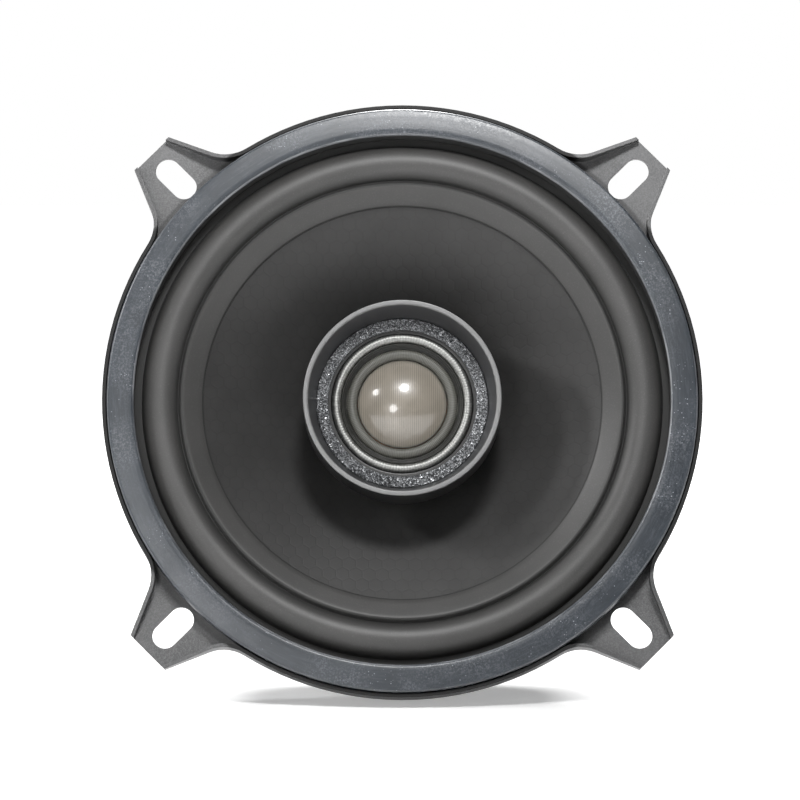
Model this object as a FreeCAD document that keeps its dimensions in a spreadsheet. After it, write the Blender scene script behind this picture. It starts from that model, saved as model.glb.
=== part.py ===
import FreeCAD, Part
import math
import os

import Sketcher

# Lengths are in mm. The speaker's axis is Y and its face looks along -Y.
# "Forward" values are distances in front of the flange's back face, so y = -forward.

SIZES = {
    # flange, its ears and its upturned lip
    "rim_radius": 65.0,
    "lip_thick": 0.8,
    "lip_front": 5.2,
    "plate_front": 1.0,
    "ear_end": 77.5,
    "ear_end_half": 5.2,
    "ear_taper": 23.2,
    "ear_fillet": 8.4,
    "ear_overrun": 1.0,
    "ear_lip_start": 65.6,
    "ear_lip_end": 78.5,
    "ear_lip_front": 2.4,
    "slot_mid": 69.9,
    "slot_half_run": 2.45,
    "slot_radius": 2.75,
    # basket behind the flange
    "spigot_radius": 57.0,
    "spigot_inner": 56.0,
    "spigot_depth": 5.0,
    "bowl_join": 58.0,
    "bowl_start": 4.6,
    "shelf_radius": 39.0,
    "shelf_inner": 38.4,
    "shelf_depth": 20.0,
    "seat_radius": 34.5,
    "seat_inner": 33.5,
    "seat_depth": 27.0,
    "sheet_thick": 1.0,
    "seat_bore": 14.5,
    "window_outer": 54.0,
    "window_inner": 41.0,
    "window_start": 12.0,
    "window_end": 78.0,
    "tab_half": 9.0,
    "tab_height": 38.0,
    "tab_depth": 31.0,
    # gasket ring and surround
    "gasket_outer": 63.95,
    "gasket_inner": 58.05,
    "gasket_back": 1.5,
    "gasket_front": 6.7,
    "gasket_round": 0.7,
    "landing_inner": 43.2,
    "landing_inner_front": 1.22,
    "landing_inner_back": 0.67,
    "landing_outer": 48.15,
    "landing_outer_front": 4.02,
    "landing_edge": 47.9,
    "landing_edge_back": 3.47,
    "roll_inner": 48.5,
    "roll_outer": 56.4,
    "roll_centre": 0.4,
    "roll_under_inner": 49.0,
    "roll_under_outer": 55.85,
    "roll_under_centre": 0.35,
    "surround_edge": 63.4,
    # cone and voice coil
    "cone_edge": 47.9,
    "cone_edge_front": 3.42,
    "cone_neck": 12.85,
    "cone_neck_front": -17.4,
    "cone_thick": 0.8,
    "former_inner": 12.5,
    "former_outer": 12.75,
    "former_front": -15.6,
    "former_back": -33.6,
    "coil_outer": 13.3,
    "coil_front": -24.4,
    "coil_back": -33.4,
    # spider
    "spider_inner": 12.85,
    "spider_collar": 14.4,
    "spider_pitch": 1.85,
    "spider_rise": 0.9,
    "spider_outer": 38.2,
    "spider_seat": 33.6,
    "spider_back": -19.95,
    "spider_thick": 0.4,
    # motor
    "plate_radius": 33.0,
    "plate_bore": 13.9,
    "plate_thick": 4.0,
    "plate_chamfer": 0.6,
    "magnet_radius": 35.0,
    "magnet_bore": 19.0,
    "magnet_thick": 11.0,
    "magnet_chamfer": 1.2,
    "yoke_radius": 34.0,
    "yoke_thick": 4.5,
    "yoke_chamfer": 1.5,
    "pole_radius": 11.9,
    "pole_bore": 4.0,
    "nut_recess_radius": 9.5,
    "nut_recess_depth": 4.2,
    "rivet_circle": 26.0,
    "rivet_radius": 1.5,
    "rivet_head": 2.6,
    "rivet_head_thick": 0.8,
    # tweeter post
    "post_radius": 5.5,
    "stud_radius": 3.9,
    "post_bore": 1.9,
    "stud_back": -46.2,
    "washer_radius": 8.5,
    "washer_thick": 0.8,
    "nut_across": 13.0,
    "nut_thick": 3.0,
    # tweeter housing and its rings
    "housing_radius": 21.5,
    "housing_front": 7.0,
    "housing_mouth": 20.4,
    "housing_throat": 18.75,
    "throat_front": -0.2,
    "ledge_front": -0.9,
    "ledge_inner": 15.35,
    "housing_side_back": -4.6,
    "housing_heel": 17.0,
    "housing_back": -8.4,
    "housing_floor": -7.2,
    "housing_round": 0.5,
    "texture_outer": 18.65,
    "texture_inner": 16.1,
    "texture_front": -0.3,
    "face_outer": 15.3,
    "face_inner": 13.4,
    "face_side": -1.05,
    "face_back": -1.6,
    "step_front": -0.7,
    "step_mid": 12.8,
    "step_low": -1.5,
    "step_inner": 12.15,
    "step_back": -2.6,
    # tweeter dome and motor
    "dome_radius": 9.7,
    "dome_edge_front": -2.1,
    "dome_centre": -12.6,
    "dome_under_centre": -12.95,
    "dome_thick": 0.25,
    "dome_roll_outer": 12.1,
    "dome_roll_centre": -2.1,
    "dome_roll_gap": 0.1,
    "dome_roll_thick": 0.2,
    "dome_roll_back": -2.3,
    "dcoil_inner": 9.3,
    "dcoil_mid": 9.42,
    "dcoil_outer": 9.75,
    "dcoil_back": -5.6,
    "dwinding_front": -3.3,
    "cup_outer": 15.0,
    "cup_bore": 10.2,
    "cup_front": -2.7,
    "cup_floor": -6.2,
    "dplate_radius": 8.85,
    "dplate_front": -3.4,
    "dplate_back": -4.6,
    "dmagnet_radius": 8.4,
    # terminal board and its tabs
    "board_half": 13.0,
    "board_front": -22.0,
    "board_back": -37.0,
    "board_height": 39.0,
    "board_thick": 1.4,
    "board_corner": 1.5,
    "board_rivet_x": 4.5,
    "board_rivet_forward": -25.5,
    "board_rivet_radius": 1.2,
    "board_rivet_head": 2.0,
    "board_rivet_cap": 0.7,
    "tab_x": 7.0,
    "tab_front": -31.0,
    "tab_back": -45.0,
    "tab_tip": 1.2,
    "tab_thick": 0.8,
    "tab_wide_half": 3.15,
    "tab_narrow_half": 2.4,
    "tab_hole": 0.85,
    "tab_hole_forward": -42.0,
    "tab_rivet_forward": -33.8,
    # capacitor
    "cap_radius": 3.5,
    "cap_half": 5.5,
    "cap_height": 44.9,
    "cap_forward": -27.5,
    "cap_round": 0.8,
    "cap_lead_radius": 0.35,
    "cap_lead_x": 8.6,
    # wires
    "wire_radius": 0.6,
    "wire_gap": 0.8,
    "wire_start": -40.0,
    "wire_rear": -47.2,
    "wire_bend": 1.2,
    "wire_spread": 6.0,
    "wire_side": 37.6,
    "wire_end": -40.0,
    "tinsel_radius": 0.5,
    "tinsel_bend": 2.5,
    "tinsel_board_x": 10.6,
    "tinsel_board_forward": -24.0,
    "tinsel_rise": 45.5,
    "tinsel_over_forward": -14.0,
    "tinsel_over_height": 47.0,
    "tinsel_window_x": 9.0,
    "tinsel_window_forward": -9.5,
    "tinsel_window_height": 41.0,
    "tinsel_cone_x": 8.0,
    "tinsel_cone_forward": -10.2,
    "tinsel_cone_height": 28.4,
}

doc = FreeCAD.newDocument("speaker")
sheet = doc.addObject("Spreadsheet::Sheet", "Sizes")


def fill_sheet():
    for row, (alias, value) in enumerate(SIZES.items(), start=1):
        sheet.set(f"A{row}", alias)
        sheet.set(f"B{row}", str(value))
        sheet.setAlias(f"B{row}", alias)
    doc.recompute()


def terms(text):
    """The signed words of a sum such as 'rim_radius - lip_thick'."""
    sign, found = 1.0, []
    for word in text.split():
        if word in "+-":
            sign = 1.0 if word == "+" else -1.0
            continue
        found.append((sign, word))
        sign = 1.0
    return found


def amount(text):
    total = 0.0
    for sign, word in terms(text):
        total += sign * (float(sheet.get(word)) if word in SIZES else float(word))
    return total


def bound(text):
    """The same sum as an expression that reads the sheet."""
    words = []
    for sign, word in terms(text):
        words.append("- " if sign < 0 else "+ ")
        words.append(f"Sizes.{word} " if word in SIZES else f"{word} ")
    joined = "".join(words).strip()
    return joined[2:] if joined.startswith("+ ") else f"0 {joined}"


def new_body(name):
    body = doc.addObject("PartDesign::Body", name)
    body.Label = name
    return body


def origin_part(body, role):
    return next(f for f in body.Origin.OriginFeatures if f.Role == role)


def new_sketch(body, name, plane, offset="0"):
    """A sketch on one of the body's own planes, moved along the plane's normal."""
    sketch = body.newObject("Sketcher::SketchObject", name)
    sketch.AttachmentSupport = [(origin_part(body, plane), "")]
    sketch.MapMode = "FlatFace"
    sketch.setExpression("AttachmentOffset.Base.z", f"({bound(offset)}) * 1 mm")
    return sketch


def pin_value(sketch, constraint, expression):
    index = sketch.addConstraint(constraint)
    sketch.setExpression(f"Constraints[{index}]", expression)


def pin_point(sketch, geo, end, x_text, y_text):
    """Ties a point to the sheet; a coordinate of zero puts it on the sketch's axis."""
    for kind, text, axis in (("DistanceX", x_text, -2), ("DistanceY", y_text, -1)):
        value = amount(text)
        if abs(value) < 1e-9:
            sketch.addConstraint(Sketcher.Constraint("PointOnObject", geo, end, axis))
        else:
            pin_value(sketch, Sketcher.Constraint(kind, -1, 1, geo, end, value), bound(text))


def arc_centre(a, b, centre_text):
    """The centre on the chord's bisector, from its one stated coordinate."""
    mid = (a + b) * 0.5
    chord = b - a
    normal = FreeCAD.Vector(-chord.y, chord.x, 0)
    value = amount(centre_text)
    if abs(normal.x) > abs(normal.y):
        return mid + normal * ((value - mid.x) / normal.x), "DistanceX"
    return mid + normal * ((value - mid.y) / normal.y), "DistanceY"


def add_arc(sketch, a, b, centre, turn):
    """An arc from a to b; turn is 1 for anticlockwise. Returns its index and its two ends."""
    start, stop = (a, b) if turn > 0 else (b, a)
    first = math.atan2(start.y - centre.y, start.x - centre.x)
    last = math.atan2(stop.y - centre.y, stop.x - centre.x)
    if last < first:
        last += 2 * math.pi
    circle = Part.Circle(centre, FreeCAD.Vector(0, 0, 1), (a - centre).Length)
    geo = sketch.addGeometry(Part.ArcOfCircle(circle, first, last))
    return geo, (1, 2) if turn > 0 else (2, 1)


def draw_outline(sketch, corners):
    """A closed outline. A corner is (x, y), or (x, y, centre, turn) if an arc leads to it."""
    points = [FreeCAD.Vector(amount(c[0]), amount(c[1]), 0) for c in corners]
    pieces = []
    for i, corner in enumerate(corners):
        a, b = points[i - 1], points[i]
        if len(corner) == 2:
            pieces.append((sketch.addGeometry(Part.LineSegment(a, b)), (1, 2)))
            continue
        centre, kind = arc_centre(a, b, corner[2])
        geo, ends = add_arc(sketch, a, b, centre, corner[3])
        pieces.append((geo, ends))
        value = amount(corner[2])
        pin_value(sketch, Sketcher.Constraint(kind, -1, 1, geo, 3, value), bound(corner[2]))
    for i, corner in enumerate(corners):
        geo, ends = pieces[i]
        nxt, nxt_ends = pieces[(i + 1) % len(pieces)]
        sketch.addConstraint(Sketcher.Constraint("Coincident", geo, ends[1], nxt, nxt_ends[0]))
        pin_point(sketch, geo, ends[1], corner[0], corner[1])


def draw_circle(sketch, x_text, y_text, radius_text):
    centre = FreeCAD.Vector(amount(x_text), amount(y_text), 0)
    radius = amount(radius_text)
    geo = sketch.addGeometry(Part.Circle(centre, FreeCAD.Vector(0, 0, 1), radius))
    pin_value(sketch, Sketcher.Constraint("Radius", geo, radius), bound(radius_text))
    if abs(centre.x) < 1e-9 and abs(centre.y) < 1e-9:
        sketch.addConstraint(Sketcher.Constraint("Coincident", geo, 3, -1, 1))
    else:
        pin_point(sketch, geo, 3, x_text, y_text)


def backwards(text):
    """The y of a forward value."""
    flipped = []
    for sign, word in terms(text):
        flipped.append(f"{'-' if sign > 0 else '+'} {word}")
    return " ".join(flipped)


def turned(corners):
    """Corners given as (radius, forward) become (x, y) of the half section."""
    out = []
    for corner in corners:
        point = (corner[0], backwards(corner[1]))
        if len(corner) == 4:
            point += (backwards(corner[2]), corner[3])
        out.append(point)
    return out


def revolve(body, name, corners):
    sketch = new_sketch(body, f"{body.Name}_{name}_section", "XY_Plane")
    draw_outline(sketch, turned(corners))
    feature = body.newObject("PartDesign::Revolution", f"{body.Name}_{name}")
    feature.Profile = sketch
    feature.ReferenceAxis = (sketch, ["V_Axis"])
    feature.Angle = 360
    body.Tip = feature
    doc.recompute()
    return feature


def ring(name, outer, inner, front, back):
    """A plain ring or disc about the axis."""
    body = new_body(name)
    corners = [(outer, front), (outer, back), (inner, back), (inner, front)]
    revolve(body, "turned", corners)
    return body


def extrude(body, name, sketch, length, kind="Pad"):
    feature = body.newObject(f"PartDesign::{kind}", f"{body.Name}_{name}")
    feature.Profile = sketch
    feature.setExpression("Length", f"({bound(length)}) * 1 mm")
    body.Tip = feature
    doc.recompute()
    return feature


def around(body, name, feature, count):
    """Copies of a feature spaced evenly about the speaker's axis."""
    pattern = body.newObject("PartDesign::PolarPattern", f"{body.Name}_{name}")
    pattern.Originals = [feature]
    pattern.Axis = (origin_part(body, "Y_Axis"), [""])
    pattern.Angle = 360
    pattern.Occurrences = count
    body.Tip = pattern
    doc.recompute()
    return pattern


def ring_edges(shape, radius, forward):
    """Names of the full circles of this radius at this forward value."""
    names = []
    for i, edge in enumerate(shape.Edges, start=1):
        curve = edge.Curve
        if not isinstance(curve, Part.Circle):
            continue
        same = abs(curve.Radius - radius) < 0.02 and abs(curve.Center.y + forward) < 0.02
        if same:
            names.append(f"Edge{i}")
    return names


def soften(body, name, kind, size, rings):
    """A fillet or chamfer on the circles given as (radius, forward)."""
    base = body.Tip
    names = []
    for radius, forward in rings:
        names += ring_edges(base.Shape, amount(radius), amount(forward))
    feature = body.newObject(f"PartDesign::{kind}", f"{body.Name}_{name}")
    feature.Base = (base, names)
    attribute = "Radius" if kind == "Fillet" else "Size"
    feature.setExpression(attribute, f"({bound(size)}) * 1 mm")
    body.Tip = feature
    doc.recompute()
    return feature


def draw_ear(sketch, inset, reach):
    """One ear pointing along X; its sides run into the round rim through hollow curves."""
    taper = math.radians(amount("ear_taper"))
    rim = amount("rim_radius") - amount(inset)
    fillet = amount("ear_fillet") + amount(inset)
    end_x = amount("ear_end") + amount(reach)
    half = amount("ear_end_half") - amount(reach) * math.tan(taper)
    half -= amount(inset) / math.cos(taper)
    slope = "tan(Sizes.ear_taper * 1 deg)"
    tilt = "cos(Sizes.ear_taper * 1 deg)"
    half_text = f"Sizes.ear_end_half - ({bound(reach)}) * {slope} - ({bound(inset)}) / {tilt}"
    fillet_text = f"Sizes.ear_fillet + ({bound(inset)})"
    centre_text = "Sizes.rim_radius + Sizes.ear_fillet"
    inward = FreeCAD.Vector(-math.cos(taper), math.sin(taper), 0)
    outward = FreeCAD.Vector(math.sin(taper), math.cos(taper), 0)
    start = FreeCAD.Vector(end_x, half, 0) + outward * fillet
    b = start.dot(inward)
    c = start.dot(start) - (rim + fillet) ** 2
    centre = start + inward * (-b - math.sqrt(b * b - c))
    touch_side = centre - outward * fillet
    touch_rim = centre * (rim / (rim + fillet))
    lower, upper = FreeCAD.Vector(end_x, -half, 0), FreeCAD.Vector(end_x, half, 0)
    end = sketch.addGeometry(Part.LineSegment(lower, upper))
    origin = FreeCAD.Vector(0, 0, 0)
    feet = []
    for side, corner in ((-1, 1), (1, 2)):
        mirrored = [FreeCAD.Vector(p.x, side * p.y, 0) for p in (touch_side, touch_rim, centre)]
        tip = FreeCAD.Vector(end_x, side * half, 0)
        line = sketch.addGeometry(Part.LineSegment(mirrored[0], tip))
        arc, ends = add_arc(sketch, mirrored[0], mirrored[1], mirrored[2], -side)
        spoke = sketch.addGeometry(Part.LineSegment(origin, mirrored[2]), True)
        sketch.addConstraint(Sketcher.Constraint("Coincident", line, 2, end, corner))
        sketch.addConstraint(Sketcher.Constraint("Tangent", line, 1, arc, ends[0]))
        sketch.addConstraint(Sketcher.Constraint("Coincident", spoke, 1, -1, 1))
        sketch.addConstraint(Sketcher.Constraint("Coincident", spoke, 2, arc, 3))
        sketch.addConstraint(Sketcher.Constraint("PointOnObject", arc, ends[1], spoke))
        reach_from_axis = rim + fillet
        pin_value(sketch, Sketcher.Constraint("Distance", spoke, reach_from_axis), centre_text)
        pin_value(sketch, Sketcher.Constraint("Radius", arc, fillet), fillet_text)
        sign = "-" if side > 0 else ""
        angle = Sketcher.Constraint("Angle", line, -side * taper)
        pin_value(sketch, angle, f"{sign}1 * Sizes.ear_taper * 1 deg")
        feet.append((arc, ends[1]))
    sketch.addConstraint(Sketcher.Constraint("Vertical", end))
    pin_value(sketch, Sketcher.Constraint("DistanceX", -1, 1, end, 2, end_x),
              f"Sizes.ear_end + ({bound(reach)})")
    pin_value(sketch, Sketcher.Constraint("DistanceY", -1, 1, end, 2, half), half_text)
    pin_value(sketch, Sketcher.Constraint("DistanceY", end, 1, -1, 1, half), half_text)
    chord_ends = [sketch.getPoint(*foot) for foot in feet]
    chord = sketch.addGeometry(Part.LineSegment(*chord_ends))
    for foot, corner in zip(feet, (1, 2)):
        sketch.addConstraint(Sketcher.Constraint("Coincident", chord, corner, *foot))


def draw_window(sketch):
    """A sector between two radii, in the quarter between the X and Z ears."""
    outer, inner = amount("window_outer"), amount("window_inner")
    first, last = math.radians(amount("window_start")), math.radians(amount("window_end"))
    up = FreeCAD.Vector(0, 0, 1)
    origin = FreeCAD.Vector(0, 0, 0)
    big = sketch.addGeometry(Part.ArcOfCircle(Part.Circle(origin, up, outer), first, last))
    small = sketch.addGeometry(Part.ArcOfCircle(Part.Circle(origin, up, inner), first, last))
    for arc, alias in ((big, "window_outer"), (small, "window_inner")):
        sketch.addConstraint(Sketcher.Constraint("Coincident", arc, 3, -1, 1))
        pin_value(sketch, Sketcher.Constraint("Radius", arc, amount(alias)), f"Sizes.{alias}")
    for corner, angle, alias in ((1, first, "window_start"), (2, last, "window_end")):
        direction = FreeCAD.Vector(math.cos(angle), math.sin(angle), 0)
        side = sketch.addGeometry(Part.LineSegment(direction * inner, direction * outer))
        sketch.addConstraint(Sketcher.Constraint("Coincident", side, 1, small, corner))
        sketch.addConstraint(Sketcher.Constraint("Coincident", side, 2, big, corner))
        pin_value(sketch, Sketcher.Constraint("Angle", side, angle), f"Sizes.{alias} * 1 deg")


def flange_plate(body):
    """The round plate with its upturned lip, before its ears."""
    blank = new_sketch(body, "plate_outline", "XZ_Plane")
    draw_circle(blank, "0", "0", "rim_radius")
    extrude(body, "plate", blank, "lip_front")


def flange_ears(body):
    blank = new_sketch(body, "ear_outline", "XZ_Plane")
    draw_ear(blank, "0", "0")
    around(body, "ears", extrude(body, "ear", blank, "lip_front"), 4)


def flange_floor(body):
    """Sinks the plate and the ears inside the lip. The lip stops short of the ears' ends."""
    disc = new_sketch(body, "floor_outline", "XZ_Plane", "lip_front")
    draw_circle(disc, "0", "0", "rim_radius - lip_thick")
    extrude(body, "floor", disc, "lip_front - plate_front", "Pocket")
    ear = new_sketch(body, "ear_floor_outline", "XZ_Plane", "lip_front")
    draw_ear(ear, "lip_thick", "ear_overrun")
    cut = extrude(body, "ear_floor", ear, "lip_front - plate_front", "Pocket")
    around(body, "ear_floors", cut, 4)


def slope_ear_lips(body):
    """Lowers the lips from the rim's height towards the ears' ends."""
    sketch = new_sketch(body, "lip_slope_section", "XY_Plane")
    draw_outline(sketch, turned([
        ("ear_lip_start", "lip_front"),
        ("ear_lip_end", "ear_lip_front"),
        ("ear_lip_end", "lip_front"),
    ]))
    feature = body.newObject("PartDesign::Groove", "lip_slope")
    feature.Profile = sketch
    feature.ReferenceAxis = (sketch, ["V_Axis"])
    feature.Angle = 360
    body.Tip = feature
    doc.recompute()


def cut_through(body, name, draw, front, length, count):
    """A cut from a forward value backwards, repeated about the axis."""
    sketch = new_sketch(body, f"{name}_outline", "XZ_Plane", front)
    draw(sketch)
    cut = extrude(body, name, sketch, length, "Pocket")
    return around(body, f"{name}s", cut, count) if count > 1 else cut


def draw_slot(sketch):
    left, right = "slot_mid - slot_half_run", "slot_mid + slot_half_run"
    low, high = "- slot_radius", "slot_radius"
    draw_outline(sketch, [
        (right, low),
        (right, high, right, 1),
        (left, high),
        (left, low, left, 1),
    ])


def basket_bowl(body):
    """Spigot, sloping wall, spider shelf and motor seat, in one pressed sheet."""
    revolve(body, "bowl", [
        ("spigot_inner", "plate_front"),
        ("bowl_join", "plate_front"),
        ("bowl_join", "0"),
        ("spigot_radius", "0"),
        ("spigot_radius", "- spigot_depth"),
        ("shelf_radius", "- shelf_depth - sheet_thick"),
        ("seat_radius", "- shelf_depth - sheet_thick"),
        ("seat_radius", "- seat_depth"),
        ("seat_bore", "- seat_depth"),
        ("seat_bore", "- seat_depth + sheet_thick"),
        ("seat_inner", "- seat_depth + sheet_thick"),
        ("seat_inner", "- shelf_depth"),
        ("shelf_inner", "- shelf_depth"),
        ("spigot_inner", "- bowl_start"),
    ])


def draw_rivet_hole(sketch):
    draw_circle(sketch, "rivet_circle", "0", "rivet_radius")


def make_basket():
    body = new_body("basket")
    flange_plate(body)
    flange_ears(body)
    flange_floor(body)
    slope_ear_lips(body)
    mouth = new_sketch(body, "mouth_outline", "XZ_Plane", "lip_front")
    draw_circle(mouth, "0", "0", "spigot_inner")
    extrude(body, "mouth", mouth, "lip_front", "Pocket")
    basket_bowl(body)
    depth = "shelf_depth - spigot_depth + sheet_thick"
    cut_through(body, "window", draw_window, "- spigot_depth", depth, 4)
    cut_through(body, "slot", draw_slot, "lip_front", "lip_front + sheet_thick", 4)
    cut_through(body, "rivet_hole", draw_rivet_hole, "- shelf_depth", "seat_depth", 4)
    body.Placement = FreeCAD.Placement(
        FreeCAD.Vector(0, 0, 0), FreeCAD.Rotation(FreeCAD.Vector(0, 1, 0), 45)
    )
    return body


def make_gasket():
    body = ring("front_gasket", "gasket_outer", "gasket_inner", "gasket_front", "gasket_back")
    edges = [("gasket_outer", "gasket_front"), ("gasket_inner", "gasket_front")]
    soften(body, "rounded", "Fillet", "gasket_round", edges)
    return body


def make_surround():
    """A sunken half roll between a sloping landing on the cone and an edge under the gasket."""
    body = new_body("surround")
    revolve(body, "roll", [
        ("landing_inner", "landing_inner_front"),
        ("landing_outer", "landing_outer_front"),
        ("roll_inner", "gasket_back"),
        ("roll_outer", "gasket_back", "roll_centre", 1),
        ("surround_edge", "gasket_back"),
        ("surround_edge", "plate_front"),
        ("roll_under_outer", "plate_front"),
        ("roll_under_inner", "plate_front", "roll_under_centre", -1),
        ("landing_edge", "plate_front"),
        ("landing_edge", "landing_edge_back"),
        ("landing_inner", "landing_inner_back"),
    ])
    return body


def make_cone():
    body = new_body("cone")
    revolve(body, "shell", [
        ("cone_neck", "cone_neck_front"),
        ("cone_edge", "cone_edge_front"),
        ("cone_edge", "cone_edge_front - cone_thick"),
        ("cone_neck", "cone_neck_front - cone_thick"),
    ])
    return body


def make_spider():
    """A corrugated cloth disc from the coil former out to the basket's shelf."""
    inner, collar = amount("spider_inner"), amount("spider_collar")
    pitch, rise = amount("spider_pitch"), amount("spider_rise")
    back, thick = amount("spider_back"), amount("spider_thick")
    radii = [inner, collar]
    rises = [0.0, 0.0]
    waves = int((amount("spider_seat") - collar) / pitch)
    for wave in range(waves):
        radii.append(collar + (wave + 1) * pitch)
        rises.append(rise if wave % 2 == 0 else -rise)
    radii += [amount("spider_seat"), amount("spider_outer")]
    rises += [0.0, 0.0]
    top = [FreeCAD.Vector(r, -(back + thick + up), 0) for r, up in zip(radii, rises)]
    low = [FreeCAD.Vector(r, -(back + up), 0) for r, up in zip(radii, rises)]
    face = Part.Face(Part.makePolygon(top + low[::-1] + top[:1]))
    spider = doc.addObject("Part::Feature", "spider")
    spider.Shape = face.revolve(FreeCAD.Vector(0, 0, 0), FreeCAD.Vector(0, 1, 0), 360)
    spider.Label = "spider"
    return spider


def make_top_plate():
    body = ring("top_plate", "plate_radius", "plate_bore", "- seat_depth",
                "- seat_depth - plate_thick")
    edges = [("plate_radius", "- seat_depth - plate_thick"), ("plate_radius", "- seat_depth")]
    soften(body, "chamfered", "Chamfer", "plate_chamfer", edges)
    cut_through(body, "rivet_hole", draw_rivet_hole, "- seat_depth", "plate_thick", 4)
    body.Placement = FreeCAD.Placement(
        FreeCAD.Vector(0, 0, 0), FreeCAD.Rotation(FreeCAD.Vector(0, 1, 0), 45)
    )
    return body


def make_magnet():
    front = "- seat_depth - plate_thick"
    body = ring("magnet", "magnet_radius", "magnet_bore", front, f"{front} - magnet_thick")
    edges = [("magnet_radius", front), ("magnet_radius", f"{front} - magnet_thick")]
    soften(body, "chamfered", "Chamfer", "magnet_chamfer", edges)
    return body


def make_yoke():
    """The back plate and the pole in one piece, bored for the tweeter's post."""
    body = new_body("yoke")
    front = "- seat_depth - plate_thick - magnet_thick"
    back = f"{front} - yoke_thick"
    revolve(body, "turned", [
        ("pole_radius", "- seat_depth"),
        ("pole_radius", front),
        ("yoke_radius", front),
        ("yoke_radius", back),
        ("nut_recess_radius", back),
        ("nut_recess_radius", f"{back} + nut_recess_depth"),
        ("pole_bore", f"{back} + nut_recess_depth"),
        ("pole_bore", "- seat_depth"),
    ])
    soften(body, "chamfered", "Chamfer", "yoke_chamfer", [("yoke_radius", back)])
    return body


def place(radius_x, forward, height):
    return FreeCAD.Vector(amount(radius_x), -amount(forward), amount(height))


def peg(foot, direction, radius, length):
    return Part.makeCylinder(radius, length, foot, direction)


FORWARD = FreeCAD.Vector(0, -1, 0)
UP = FreeCAD.Vector(0, 0, 1)


def group(name, solids):
    """Several separate solids, or one made in code, as one sub-part."""
    feature = doc.addObject("Part::Feature", name)
    feature.Shape = Part.makeCompound(solids) if len(solids) > 1 else solids[0]
    feature.Placement = FreeCAD.Placement()
    feature.Label = name
    return feature


def make_plate_rivets():
    """Four rivets that hold the basket's seat to the top plate."""
    rivets = []
    shank_foot = place("rivet_circle", "- seat_depth - plate_thick", "0")
    head_foot = place("rivet_circle", "- seat_depth + sheet_thick", "0")
    shank_length = amount("plate_thick + sheet_thick")
    for turn in range(4):
        shank = peg(shank_foot, FORWARD, amount("rivet_radius"), shank_length)
        head = peg(head_foot, FORWARD, amount("rivet_head"), amount("rivet_head_thick"))
        rivet = shank.fuse(head)
        rivet.rotate(FreeCAD.Vector(0, 0, 0), FreeCAD.Vector(0, 1, 0), 45 + 90 * turn)
        rivets.append(rivet)
    return group("plate_rivets", rivets)


def make_post():
    """A hollow post with a shoulder on the pole and a threaded end through it."""
    body = new_body("tweeter_post")
    revolve(body, "turned", [
        ("post_radius", "housing_back"),
        ("post_radius", "- seat_depth"),
        ("stud_radius", "- seat_depth"),
        ("stud_radius", "stud_back"),
        ("post_bore", "stud_back"),
        ("post_bore", "housing_back"),
    ])
    return body


def recess_forward():
    return "- seat_depth - plate_thick - magnet_thick - yoke_thick + nut_recess_depth"


def make_washer():
    front = recess_forward()
    return ring("post_washer", "washer_radius", "pole_bore", front, f"{front} - washer_thick")


def make_nut():
    """A hexagon nut made from a prism and a bore."""
    prism = doc.addObject("Part::Prism", "nut_prism")
    prism.Polygon = 6
    prism.setExpression("Circumradius", "Sizes.nut_across / 2 / cos(30 deg) * 1 mm")
    prism.setExpression("Height", "Sizes.nut_thick * 1 mm")
    bore = doc.addObject("Part::Cylinder", "nut_bore")
    bore.setExpression("Radius", "Sizes.pole_bore * 1 mm")
    bore.setExpression("Height", "Sizes.nut_thick * 1 mm")
    nut = doc.addObject("Part::Cut", "post_nut")
    nut.Base, nut.Tool = prism, bore
    nut.Label = "post_nut"
    along = FreeCAD.Rotation(FreeCAD.Vector(1, 0, 0), -90)
    nut.Placement = FreeCAD.Placement(FreeCAD.Vector(0, 0, 0), along)
    front = f"{backwards(recess_forward())} + washer_thick"
    nut.setExpression("Placement.Base.y", f"({bound(front)}) * 1 mm")
    return nut


def make_housing():
    """The tweeter's cup: a wide mouth, a ledge for the rings and a pocket for the motor."""
    body = new_body("tweeter_housing")
    revolve(body, "turned", [
        ("housing_radius", "housing_front"),
        ("housing_radius", "housing_side_back"),
        ("housing_heel", "housing_back"),
        ("post_bore", "housing_back"),
        ("post_bore", "housing_floor"),
        ("ledge_inner", "housing_floor"),
        ("ledge_inner", "ledge_front"),
        ("housing_throat", "ledge_front"),
        ("housing_throat", "throat_front"),
        ("housing_mouth", "housing_front"),
    ])
    rims = [("housing_radius", "housing_front"), ("housing_mouth", "housing_front")]
    soften(body, "rounded", "Fillet", "housing_round", rims)
    return body


def make_face_ring():
    """The half-round bright ring that frames the dome, with a skirt down to the motor's cup."""
    body = new_body("tweeter_face_ring")
    revolve(body, "turned", [
        ("face_outer", "face_back"),
        ("face_inner", "face_back"),
        ("face_inner", "face_side"),
        ("face_outer", "face_side", "face_side", 1),
    ])
    return body


def make_step_ring():
    """Two dark steps from the bright ring down to the dome's edge."""
    body = new_body("tweeter_step_ring")
    revolve(body, "turned", [
        ("face_inner", "step_front"),
        ("face_inner", "step_back"),
        ("step_inner", "step_back"),
        ("step_inner", "step_low"),
        ("step_mid", "step_low"),
        ("step_mid", "step_front"),
    ])
    return body


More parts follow.
